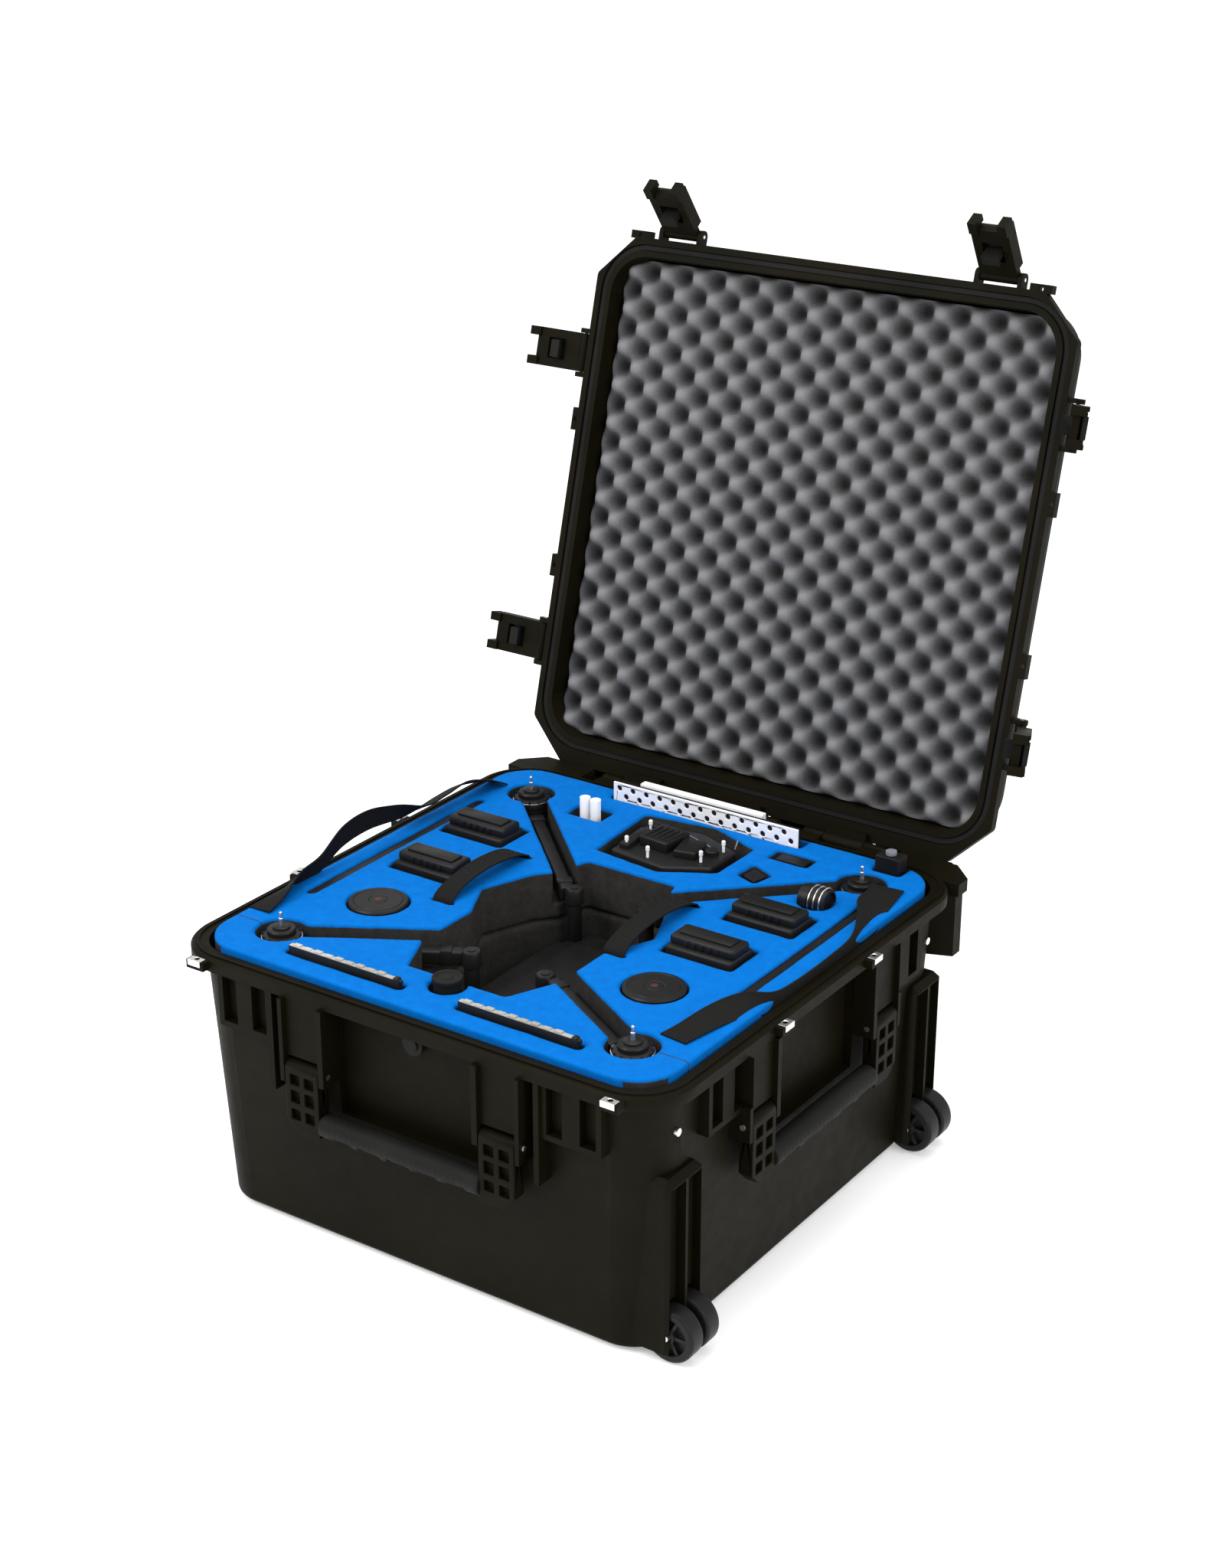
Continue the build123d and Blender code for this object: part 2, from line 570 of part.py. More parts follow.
with BuildPart() as foam_tray:
    with BuildSketch(Plane.XY.offset(TRAY_LOW)):
        RectangleRounded(2 * TRAY_HALF, 2 * TRAY_HALF, 47)
    extrude(amount=TRAY_TOP - TRAY_LOW)
    chamfer(foam_tray.edges().group_by(Axis.Z)[-1], 1.5)
    for face in FACES:
        add(on_face(recess_notch(240, FLANGE_Z + 2), face), mode=Mode.SUBTRACT)
    prism(BODY_OUTLINE, TRAY_LOW - 1, TRAY_TOP + 1, Mode.SUBTRACT)
    for sx in (-1, 1):
        for sy in (-1, 1):
            rod((sx * MOTOR, sy * MOTOR, 290), MOTOR_POCKET_R, 2 * (290 - ARM_FLOOR), "Z", Mode.SUBTRACT)
            arm_bar(sx, sy, 0, 28, ARM_FLOOR, 310, Mode.SUBTRACT)
    prism(CONTROLLER_OUTLINE, 255, TRAY_TOP + 1, Mode.SUBTRACT)
    for x, y in BATTERY_SPOTS:
        box(x - 43, x + 43, y - 28, y + 28, 255, 310, Mode.SUBTRACT)
    for x, y in DISC_SPOTS:
        rod((x, y, 295), 33.5, 24, "Z", Mode.SUBTRACT)
    for x in SIDE_BARS:
        box(x - 6, x + 6, -132, 168, 270, 310, Mode.SUBTRACT)
    for sx in (-1, 1):
        bar = sorted((sx * 32, sx * 180))
        box(bar[0], bar[1], -252, -240, 275, 310, Mode.SUBTRACT)
    for x in LOOP_X:
        box(x - 15, x + 15, LOOP_END - 3, LOOP_END + 3, 270, 310, Mode.SUBTRACT)
        box(x - 15, x + 15, -LOOP_END - 3, -LOOP_END + 3, 270, 310, Mode.SUBTRACT)
    rod((0, -218, 300), 19, 40, "Z", Mode.SUBTRACT)
    box(-134, 116, 254, 276, 262, 310, Mode.SUBTRACT)
    box(-150, -104, 190, 222, 275, 310, Mode.SUBTRACT)
    rod((200, 146, 295), 18, 50, "Z", Mode.SUBTRACT)
    prism([(94, 160), (122, 150), (128, 178), (96, 194)], 280, 310, Mode.SUBTRACT)
    box(98, 148, 214, 240, 280, 310, Mode.SUBTRACT)
    box(206, 240, 250, 276, 270, 310, Mode.SUBTRACT)
save(foam_tray.part, "foam_tray")

with BuildPart() as foam_base:
    with BuildSketch(Plane.XY.offset(FLOOR_Z + 0.4)):
        RectangleRounded(530, 530, 46)
    extrude(amount=TRAY_LOW - 0.4 - FLOOR_Z - 0.4)
    for face in FACES:
        add(on_face(recess_notch(150, 250), face), mode=Mode.SUBTRACT)
    for sy in (-1, 1):
        wy = sorted((sy * (HOUSING_Y[0] - 2), sy * 290))
        box(WELL_X - 6, 290, wy[0], wy[1], 0, WELL_TOP + 6, Mode.SUBTRACT)
    prism(BODY_OUTLINE, BODY_FLOOR, 260, Mode.SUBTRACT)
save(foam_base.part, "foam_base")


# ---- webbing ----
def ribbon(path, width, thick):
    """A flat strap that follows a path of points (y, z) in an upright plane along Y."""
    upper = [(u, z + thick) for u, z in reversed(path)]
    with BuildPart() as strap:
        with BuildSketch(Plane(origin=(0, 0, 0), x_dir=(0, 1, 0), z_dir=(1, 0, 0))):
            with BuildLine():
                Polyline(*path, *upper, close=True)
            make_face()
        extrude(amount=width / 2, both=True)
    return strap.part


with BuildPart() as webbing_loops:
    arch = [(-69, 284)]
    for i in range(9):
        u = -69 + 138 * i / 8
        arch.append((u, 303 + 15 * math.sin(math.pi * i / 8)))
    arch.append((69, 284))
    inner = [(u * 0.976, z - 1.6) for u, z in arch[2:-2]]
    inner = [(-67.4, 284), (-67.4, 302.8)] + inner + [(67.4, 302.8), (67.4, 284)]
    outline = arch + inner[::-1]
    for x in LOOP_X:
        with BuildSketch(Plane(origin=(x, 0, 0), x_dir=(0, 1, 0), z_dir=(1, 0, 0))):
            with BuildLine():
                Polyline(*outline, close=True)
            make_face()
        extrude(amount=12.5, both=True)
save(webbing_loops.part, "webbing_loops")

with BuildPart() as webbing_right:
    add(ribbon([(-150, 303), (-96, 303.6), (20, 303.6), (140, 303.6), (200, 303)], 30, 2.0)
        .moved(Location((262, 0, 0))))
save(webbing_right.part, "webbing_right")

with BuildPart() as webbing_left:
    rise = [(-170, 303), (-140, 304), (-110, 312), (-70, 320), (-20, 321), (20, 316), (60, 319), (110, 318),
            (150, 309), (185, 303.5), (215, 303)]
    add(ribbon(rise, 24, 2.0).moved(Location((-263, 0, 0))))
save(webbing_left.part, "webbing_left")

# ---- the folded quadcopter ----
with BuildPart() as drone_body:
    prism([(-46, -150), (46, -150), (64, -90), (64, 30), (40, 82), (-40, 82), (-64, 30), (-64, -90)],
          BODY_FLOOR + 0.5, BODY_TOP)
    fillet(drone_body.edges().group_by(Axis.Z)[-1], 6)
    box(-34, 34, -110, 44, BODY_TOP - 4, BODY_TOP + 5)
save(drone_body.part, "drone_body")

with BuildPart() as drone_posts:
    for sx in (-1, 1):
        for sy in (-1, 1):
            start = arm_start(sx, sy)
            rod((start[0] - sx * 9, start[1], (BODY_TOP + ARM_LOW) / 2), 8, ARM_LOW - BODY_TOP, "Z")
save(drone_posts.part, "drone_posts")

with BuildPart() as drone_arms:
    for sx in (-1, 1):
        for sy in (-1, 1):
            start = arm_start(sx, sy)
            arm_bar(sx, sy, 23.3, 16, ARM_LOW, ARM_LOW + 16)
            rod((start[0] - sx * 5, start[1], ARM_LOW + 9), 10, 18, "Z")
save(drone_arms.part, "drone_arms")

with BuildPart() as drone_motors:
    for sx in (-1, 1):
        for sy in (-1, 1):
            rod((sx * MOTOR, sy * MOTOR, 268), 23, 11, "Z")
            rod((sx * MOTOR, sy * MOTOR, 285), 21, 24, "Z")
            rod((sx * MOTOR, sy * MOTOR, 300), 16, 8, "Z")
save(drone_motors.part, "drone_motors")

with BuildPart() as drone_motor_caps:
    for sx in (-1, 1):
        for sy in (-1, 1):
            rod((sx * MOTOR, sy * MOTOR, 305.5), 12, 3, "Z")
            rod((sx * MOTOR, sy * MOTOR, 313), 2.5, 18, "Z")
save(drone_motor_caps.part, "drone_motor_caps")

# ---- kit in the pockets ----
with BuildPart() as round_cases:
    for x, y in DISC_SPOTS:
        rod((x, y, 293.5), 32, 20, "Z")
    fillet(round_cases.edges().group_by(Axis.Z)[-1], 2.5)
save(round_cases.part, "round_cases")

with BuildPart() as round_case_buttons:
    for x, y in DISC_SPOTS:
        rod((x, y, 304), 5, 1, "Z")
save(round_case_buttons.part, "round_case_buttons")

with BuildPart() as batteries:
    for x, y in BATTERY_SPOTS:
        box(x - 39, x + 39, y - 22, y + 22, 255.5, 318)
    chamfer(batteries.edges().filter_by(Axis.X).group_by(Axis.Z)[-1], 9)
save(batteries.part, "batteries")

with BuildPart() as side_bars:
    for x in SIDE_BARS:
        box(x - 4.5, x + 4.5, -128, 164, 270.5, 299)
save(side_bars.part, "side_bars")

with BuildPart() as propeller_blades:
    for sx in (-1, 1):
        bar = sorted((sx * 36, sx * 176))
        box(bar[0], bar[1], -249, -243, 275.5, 311)
save(propeller_blades.part, "propeller_blades")

with BuildPart() as front_knob:
    rod((0, -218, 294), 14, 28, "Z")
    rod((0, -218, 309), 15.5, 5, "Z")
save(front_knob.part, "front_knob")

with BuildPart() as controller_body:
    prism([(-56, 140), (18, 132), (64, 158), (64, 214), (8, 236), (-62, 226)], 255.5, 304)
    fillet(controller_body.edges().group_by(Axis.Z)[-1], 5)
    box(-30, 30, 170, 206, 300, 311)
save(controller_body.part, "controller_body")

with BuildPart() as controller_sticks:
    for x, y in ((-44, 156), (-10, 146), (44, 168), (50, 204), (-46, 206)):
        rod((x, y, 308.1), 2, 8, "Z")
save(controller_sticks.part, "controller_sticks")

with BuildPart() as vented_charger:
    box(-130, 112, 256, 258.4, 262.5, 321)
    for i in range(13):
        x = -122 + i * 18
        rod((x, 257, 314.5), 3.2, 8, "Y", Mode.SUBTRACT)
        rod((x + 9, 257, 305.5), 3.2, 8, "Y", Mode.SUBTRACT)
save(vented_charger.part, "vented_charger")

with BuildPart() as charger_backing:
    box(-128, 110, 258.6, 265.8, 262.5, 319)
save(charger_backing.part, "charger_backing")

with BuildPart() as charger_plate:
    box(-100, 60, 266, 275, 262.5, 322)
save(charger_plate.part, "charger_plate")

with BuildPart() as white_caps:
    for x in (-134, -120):
        rod((x, 206, 297), 6, 43, "Z")
save(white_caps.part, "white_caps")

with BuildPart() as lens_barrel:
    rod((200, 146, 296), 15, 51, "Z")
    for z in (306, 312, 318):
        rod((200, 146, z), 17, 2.5, "Z")
save(lens_barrel.part, "lens_barrel")

with BuildPart() as spare_boxes:
    box(209, 237, 253, 273, 270.5, 318)
    box(106, 142, 219, 235, 280.5, 300)
    prism([(100, 164), (118, 156), (122, 174), (102, 184)], 280.5, 300)
save(spare_boxes.part, "spare_boxes")

with BuildPart() as corner_knob:
    rod((223, 263, 320.5), 6, 4, "Z")
save(corner_knob.part, "corner_knob")
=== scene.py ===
"""Looks of the wheeled drone carrying case: camera, studio, materials and the soft pieces.

Everything is in metres in the CAD frame: +X right along the front, +Y back, +Z up.
"""
import json
import math

import bmesh
import bpy
from mathutils import Matrix, Vector


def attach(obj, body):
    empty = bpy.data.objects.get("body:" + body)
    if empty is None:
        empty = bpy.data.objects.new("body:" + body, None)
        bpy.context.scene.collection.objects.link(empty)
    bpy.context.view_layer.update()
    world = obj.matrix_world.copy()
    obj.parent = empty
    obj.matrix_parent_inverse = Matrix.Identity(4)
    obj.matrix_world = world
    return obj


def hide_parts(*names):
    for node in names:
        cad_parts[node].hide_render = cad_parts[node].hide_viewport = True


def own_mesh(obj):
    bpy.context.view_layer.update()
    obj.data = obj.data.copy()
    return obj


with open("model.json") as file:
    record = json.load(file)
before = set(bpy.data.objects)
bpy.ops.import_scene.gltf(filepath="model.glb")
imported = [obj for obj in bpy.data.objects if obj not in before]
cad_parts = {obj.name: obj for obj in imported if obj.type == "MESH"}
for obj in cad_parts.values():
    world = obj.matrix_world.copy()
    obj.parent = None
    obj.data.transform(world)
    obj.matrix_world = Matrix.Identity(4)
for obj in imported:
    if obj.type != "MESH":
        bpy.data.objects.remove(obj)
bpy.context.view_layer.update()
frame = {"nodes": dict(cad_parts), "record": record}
NODES = frame["nodes"]

# ---- places shared with the CAD ----
HINGE = Vector((0.0, 0.318, 0.288))
LID_OPEN = math.radians(105)
TRAY_TOP = 0.302
TRAY_HALF = 0.2766
MOTOR = 0.215
LOOP_X = (-0.122, 0.093)
DISC_SPOTS = ((0.168, -0.108), (-0.176, -0.108))
POCKET_FLOOR = 0.2556
BATTERY_SPOTS = ((0.168, -0.010), (0.180, 0.086), (-0.182, -0.006), (-0.196, 0.100))
HANDLE_TURN = {"front": 0.0, "right": 90.0, "left": -90.0}


def opened(p):
    """A point of the closed lid, where it is with the lid open."""
    turn = Matrix.Rotation(-LID_OPEN, 4, "X")
    return Matrix.Translation(HINGE) @ turn @ Matrix.Translation(-HINGE) @ Vector(p)


# ---- camera ----
def make_camera():
    data = bpy.data.cameras.new("camera")
    data.lens = 60.86
    data.sensor_width = 36.0
    data.clip_end = 60.0
    camera = bpy.data.objects.new("camera", data)
    camera.location = (1.431, -2.019, 1.482)
    camera.rotation_euler = (math.radians(90 - 22.88), 0.0, math.radians(34.48))
    bpy.context.collection.objects.link(camera)
    bpy.context.scene.camera = camera


# ---- studio ----
def area_light(name, place, target, size, power):
    data = bpy.data.lights.new(name, "AREA")
    data.shape = "SQUARE"
    data.size = size
    data.energy = power
    light = bpy.data.objects.new(name, data)
    light.location = place
    aim = Vector(target) - Vector(place)
    light.rotation_euler = aim.to_track_quat("-Z", "Y").to_euler()
    bpy.context.collection.objects.link(light)


def make_studio():
    scene = bpy.context.scene
    scene.view_settings.view_transform = "Standard"
    world = bpy.data.worlds.new("studio")
    world.use_nodes = True
    back = world.node_tree.nodes["Background"]
    back.inputs["Color"].default_value = (1.0, 1.0, 1.0, 1.0)
    back.inputs["Strength"].default_value = 0.9
    scene.world = world
    area_light("key", (-1.2, -2.2, 2.6), (0, 0, 0.3), 1.6, 60)
    area_light("fill", (2.6, -0.6, 1.6), (0, 0, 0.3), 1.6, 26)
    area_light("top", (0.2, 0.2, 3.0), (0, 0, 0.3), 2.2, 40)
    bpy.ops.mesh.primitive_plane_add(size=30, location=(0, 0, -0.0004))
    floor = bpy.context.object
    floor.name = "floor"
    mat = bpy.data.materials.new("floor_white")
    mat.use_nodes = True
    shade = mat.node_tree.nodes["Principled BSDF"]
    shade.inputs["Base Color"].default_value = (0.90, 0.90, 0.90, 1.0)
    shade.inputs["Roughness"].default_value = 0.9
    shade.inputs["Emission Color"].default_value = (1.0, 1.0, 1.0, 1.0)
    shade.inputs["Emission Strength"].default_value = 0.30
    floor.data.materials.append(mat)


# ---- materials ----
def principled(name, roughness, metallic=0.0, specular=0.5):
    mat = bpy.data.materials.new(name)
    mat.use_nodes = True
    shade = mat.node_tree.nodes["Principled BSDF"]
    shade.inputs["Roughness"].default_value = roughness
    shade.inputs["Metallic"].default_value = metallic
    shade.inputs["Specular IOR Level"].default_value = specular
    return mat, mat.node_tree, shade


def noise(tree, scale, detail=3.0, rough=0.55):
    coord = tree.nodes.new("ShaderNodeTexCoord")
    tex = tree.nodes.new("ShaderNodeTexNoise")
    tex.inputs["Scale"].default_value = scale
    tex.inputs["Detail"].default_value = detail
    tex.inputs["Roughness"].default_value = rough
    tree.links.new(coord.outputs["Object"], tex.inputs["Vector"])
    return tex.outputs["Fac"]


def ramp(tree, fac, low, high, start, stop, middle=None):
    """A colour from a value, between two colours, or through a third at 0.55."""
    node = tree.nodes.new("ShaderNodeValToRGB")
    node.color_ramp.elements[0].position = start
    node.color_ramp.elements[0].color = (*low, 1.0)
    node.color_ramp.elements[1].position = stop
    node.color_ramp.elements[1].color = (*high, 1.0)
    if middle:
        node.color_ramp.elements.new(0.55).color = (*middle, 1.0)
    tree.links.new(fac, node.inputs["Fac"])
    return node.outputs["Color"]


def two_tone(tree, shade, fac, low, high, start=0.35, stop=0.65):
    """Base colour from a value, between two colours."""
    tree.links.new(ramp(tree, fac, low, high, start, stop), shade.inputs["Base Color"])


def bump(tree, shade, fac, strength, distance):
    node = tree.nodes.new("ShaderNodeBump")
    node.inputs["Strength"].default_value = strength
    node.inputs["Distance"].default_value = distance
    tree.links.new(fac, node.inputs["Height"])
    tree.links.new(node.outputs["Normal"], shade.inputs["Normal"])


def roughness_from(tree, shade, fac, low, high):
    span = tree.nodes.new("ShaderNodeMapRange")
    span.inputs["To Min"].default_value = low
    span.inputs["To Max"].default_value = high
    tree.links.new(fac, span.inputs["Value"])
    tree.links.new(span.outputs["Result"], shade.inputs["Roughness"])


def grained_plastic(name, low, high, grain=900.0, rough=(0.42, 0.62), specular=0.09):
    """Moulded plastic with a fine pitted grain and faint broad unevenness."""
    mat, tree, shade = principled(name, 0.5, specular=specular)
    two_tone(tree, shade, noise(tree, 7.0, 4.0), low, high)
    fine = noise(tree, grain, 2.0)
    bump(tree, shade, fine, 0.35, 0.0004)
    roughness_from(tree, shade, noise(tree, 60.0, 3.0), *rough)
    return mat


def foam(name, low, high):
    """Cut foam: open cells and a soft, slightly uneven colour."""
    mat, tree, shade = principled(name, 0.85, specular=0.06)
    two_tone(tree, shade, noise(tree, 90.0, 6.0, 0.7), low, high, 0.3, 0.7)
    bump(tree, shade, noise(tree, 420.0, 4.0, 0.7), 0.5, 0.0008)
    return mat


def math_node(tree, operation, *values):
    """A Math node on sockets or plain numbers, as its output."""
    node = tree.nodes.new("ShaderNodeMath")
    node.operation = operation
    for slot, value in zip(node.inputs, values):
        if isinstance(value, (int, float)):
            slot.default_value = value
        else:
            tree.links.new(value, slot)
    return node.outputs["Value"]


def layered_foam(name, top_low, top_high, core_low, core_high):
    """Laminated foam: a thin coloured skin on top and round the edge, a dark core, slits at the front."""
    mat, tree, shade = principled(name, 0.85, specular=0.06)
    grain = noise(tree, 90.0, 6.0, 0.7)
    coord = tree.nodes.new("ShaderNodeTexCoord")
    axes = tree.nodes.new("ShaderNodeSeparateXYZ")
    tree.links.new(coord.outputs["Object"], axes.inputs["Vector"])
    wide_x = math_node(tree, "ABSOLUTE", axes.outputs["X"])
    wide_y = math_node(tree, "ABSOLUTE", axes.outputs["Y"])
    outward = math_node(tree, "MAXIMUM", wide_x, wide_y)
    ragged = math_node(tree, "MULTIPLY_ADD", grain, 0.0012, axes.outputs["Z"])
    on_top = math_node(tree, "GREATER_THAN", ragged, TRAY_TOP - 0.0032)
    on_edge = math_node(tree, "GREATER_THAN", outward, TRAY_HALF - 0.0024)
    from_slit = math_node(tree, "ABSOLUTE", math_node(tree, "ADD", axes.outputs["Y"], MOTOR))
    in_slit = math_node(tree, "LESS_THAN", from_slit, 0.0007)
    in_slit = math_node(tree, "MULTIPLY", in_slit, math_node(tree, "GREATER_THAN", wide_x, MOTOR))
    skin = math_node(tree, "SUBTRACT", math_node(tree, "MAXIMUM", on_top, on_edge), in_slit)
    mix = tree.nodes.new("ShaderNodeMix")
    mix.data_type = "RGBA"
    mix.clamp_factor = True
    tree.links.new(skin, mix.inputs["Factor"])
    tree.links.new(ramp(tree, grain, core_low, core_high, 0.3, 0.7), mix.inputs[6])
    tree.links.new(ramp(tree, grain, top_low, top_high, 0.3, 0.7), mix.inputs[7])
    tree.links.new(mix.outputs[2], shade.inputs["Base Color"])
    bump(tree, shade, noise(tree, 420.0, 4.0, 0.7), 0.45, 0.0008)
    return mat


def brushed(name, low, high):
    mat, tree, shade = principled(name, 0.3, metallic=1.0)
    two_tone(tree, shade, noise(tree, 160.0, 3.0), low, high)
    bump(tree, shade, noise(tree, 700.0, 2.0), 0.1, 0.0002)
    return mat


def woven(name, low, high):
    """Woven webbing: diagonal ribs crossed by finer threads."""
    mat, tree, shade = principled(name, 0.8, specular=0.10)
    coord = tree.nodes.new("ShaderNodeTexCoord")
    ribs = tree.nodes.new("ShaderNodeTexWave")
    ribs.inputs["Scale"].default_value = 520.0 / 3
    ribs.inputs["Distortion"].default_value = 0.4
    ribs.bands_direction = "DIAGONAL"
    tree.links.new(coord.outputs["Object"], ribs.inputs["Vector"])
    two_tone(tree, shade, ribs.outputs["Fac"], low, high, 0.2, 0.9)
    bump(tree, shade, ribs.outputs["Fac"], 0.5, 0.0006)
    return mat


def relief_foam(name, painted_pit_shade, mid, painted_peak_light):
    """Egg-crate foam with open cells: painted shade darkens the pits and painted light makes the peaks paler,
    set by the height of each point.
    """
    mat, tree, shade = principled(name, 0.9, specular=0.1)
    height = tree.nodes.new("ShaderNodeAttribute")
    height.attribute_name = "painted_shade_height"
    # Height, with a little random tone mixed in, picks the colour: painted shade in the pits, painted light
    # on the peaks.
    height_shade_and_tone = math_node(tree, "MULTIPLY_ADD", noise(tree, 260.0, 5.0, 0.7), 0.22, height.outputs["Fac"])
    tree.links.new(ramp(tree, height_shade_and_tone, painted_pit_shade, painted_peak_light, 0.12, 1.0, mid), shade.inputs["Base Color"])
    bump(tree, shade, noise(tree, 480.0, 4.0, 0.7), 0.5, 0.0008)
    return mat


FOAM_CORE = ((0.024, 0.023, 0.022), (0.042, 0.040, 0.038))
MATERIALS = {
    "black_shell": grained_plastic(
        "shell_black", (0.0040, 0.0033, 0.0008), (0.0062, 0.0052, 0.0020), specular=0.055),
    "trigger_plastic": grained_plastic(
        "trigger_black", (0.0075, 0.0073, 0.0068), (0.0110, 0.0108, 0.0100), 700.0),
    "steel": brushed("steel_plate", (0.62, 0.61, 0.58), (0.80, 0.79, 0.76)),
    "rubber": grained_plastic(
        "grip_rubber", (0.0070, 0.0069, 0.0066), (0.0120, 0.0118, 0.0112), 500.0, (0.50, 0.68)),
    "wheel_rubber": grained_plastic(
        "wheel_rubber", (0.006, 0.006, 0.006), (0.010, 0.010, 0.010), 600.0, (0.32, 0.50), 0.16),
    "blue_foam": layered_foam("foam_blue", (0.0, 0.112, 0.42), (0.0, 0.142, 0.51), *FOAM_CORE),
    "dark_foam": foam("foam_dark", *FOAM_CORE),
    # Grey foam: the pit colour is painted shade and the peak colour is painted light; the middle colour
    # stands for the foam's own grey.
    "grey_foam": relief_foam(
        "foam_grey", (0.010, 0.010, 0.0105), (0.074, 0.074, 0.077), (0.180, 0.180, 0.186)),
    "webbing": woven("webbing_black", (0.0050, 0.0048, 0.0046), (0.0125, 0.0122, 0.0116)),
    "kit_black": grained_plastic(
        "kit_black", (0.0060, 0.0059, 0.0057), (0.0110, 0.0106, 0.0100), 800.0, (0.32, 0.50), 0.20),
    "kit_red": grained_plastic("kit_red", (0.05, 0.02, 0.018), (0.09, 0.03, 0.025), 800.0, (0.3, 0.5)),
    "blade_grey": grained_plastic("blade_grey", (0.30, 0.29, 0.25), (0.48, 0.46, 0.42), 800.0, (0.3, 0.5)),
    "kit_white": grained_plastic("kit_white", (0.78, 0.78, 0.80), (0.90, 0.90, 0.92), 900.0, (0.3, 0.45)),
    "knob_grey": grained_plastic("knob_grey", (0.16, 0.17, 0.19), (0.24, 0.25, 0.28), 900.0, (0.3, 0.45)),
}


WELD_GAP = 0.00002


def dress_frame():
    """Every CAD node takes the material of its record slot, with softened edges."""
    slots = {row["node"]: row["material_slot"] for row in frame["record"]["subparts"]}
    for name, obj in NODES.items():
        obj.data.materials.clear()
        obj.data.materials.append(MATERIALS[slots[name]])
        weld = obj.modifiers.new("weld", "WELD")
        weld.merge_threshold = WELD_GAP
        edge = obj.modifiers.new("edge", "BEVEL")
        edge.width = 0.0009
        edge.segments = 2
        edge.limit_method = "ANGLE"
        edge.angle_limit = math.radians(38)
        edge.harden_normals = False


# ---- pieces made here ----
def mesh_piece(name, verts, faces, slot, body, *stands_for):
    """A smooth mesh that rides a body and stands for the named CAD nodes."""
    mesh = bpy.data.meshes.new(name)
    mesh.from_pydata([tuple(v) for v in verts], [], faces)
    mesh.update()
    for poly in mesh.polygons:
        poly.use_smooth = True
    obj = bpy.data.objects.new(name, mesh)
    bpy.context.collection.objects.link(obj)
    mesh.materials.append(MATERIALS[slot])
    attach(obj, body)
    if stands_for:
        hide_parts(*stands_for)
    return obj


def egg_crate():
    """The convoluted lid foam: staggered peaks on a closed slab that fills the lid."""
    half = 0.2762
    peak_z = 0.3075
    back_z = 0.3498
    pitch = 0.044
    swing = 0.0112
    cells = 156
    corner = 0.036
    steps = [-half + 2 * half * i / cells for i in range(cells + 1)]

    def rounded(x, y):
        """Pull a point inside the rounded corners."""
        cx, cy = half - corner, half - corner
        dx, dy = abs(x) - cx, abs(y) - cy
        if dx > 0 and dy > 0:
            far = max(dx, dy)
            reach = math.hypot(dx, dy)
            x = math.copysign(cx + dx * far / reach, x)
            y = math.copysign(cy + dy * far / reach, y)
        return x, y

    verts, painted_shade_height, faces = [], [], []
    for y in steps:
        for x in steps:
            px, py = rounded(x, y)
            wave = math.cos(2 * math.pi * px / pitch) * math.cos(2 * math.pi * py / pitch)
            shaped = wave * (1.15 - 0.15 * wave * wave)
            verts.append(opened((px, py, peak_z + swing * (1 - shaped))))
            # The height of each point, 0 in the pits and 1 on the peaks, which the grey foam material turns
            # into painted shade in the pits and painted light on the peaks.
            painted_shade_height.append(0.5 + 0.5 * shaped)
    count = len(steps)
    for y in steps:
        for x in steps:
            px, py = rounded(x, y)
            verts.append(opened((px, py, back_z)))
            painted_shade_height.append(0.3)
    layer = count * count
    for j in range(cells):
        for i in range(cells):
            a = j * count + i
            faces.append((a, a + count, a + count + 1, a + 1))
            b = a + layer
            faces.append((b, b + 1, b + count + 1, b + count))
    rim = list(range(count))
    rim += [j * count + cells for j in range(1, count)]
    rim += [cells * count + i for i in range(cells - 1, -1, -1)]
    rim += [j * count for j in range(cells - 1, 0, -1)]
    for k, a in enumerate(rim):
        b = rim[(k + 1) % len(rim)]
        faces.append((a, b, b + layer, a + layer))
    obj = mesh_piece("egg_crate_foam", verts, faces, "grey_foam", "lid", "lid_foam")
    # Store the height that drives the painted shade and painted light of the foam.
    values = obj.data.attributes.new("painted_shade_height", "FLOAT", "POINT")
    values.data.foreach_set("value", painted_shade_height)
    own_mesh(obj)


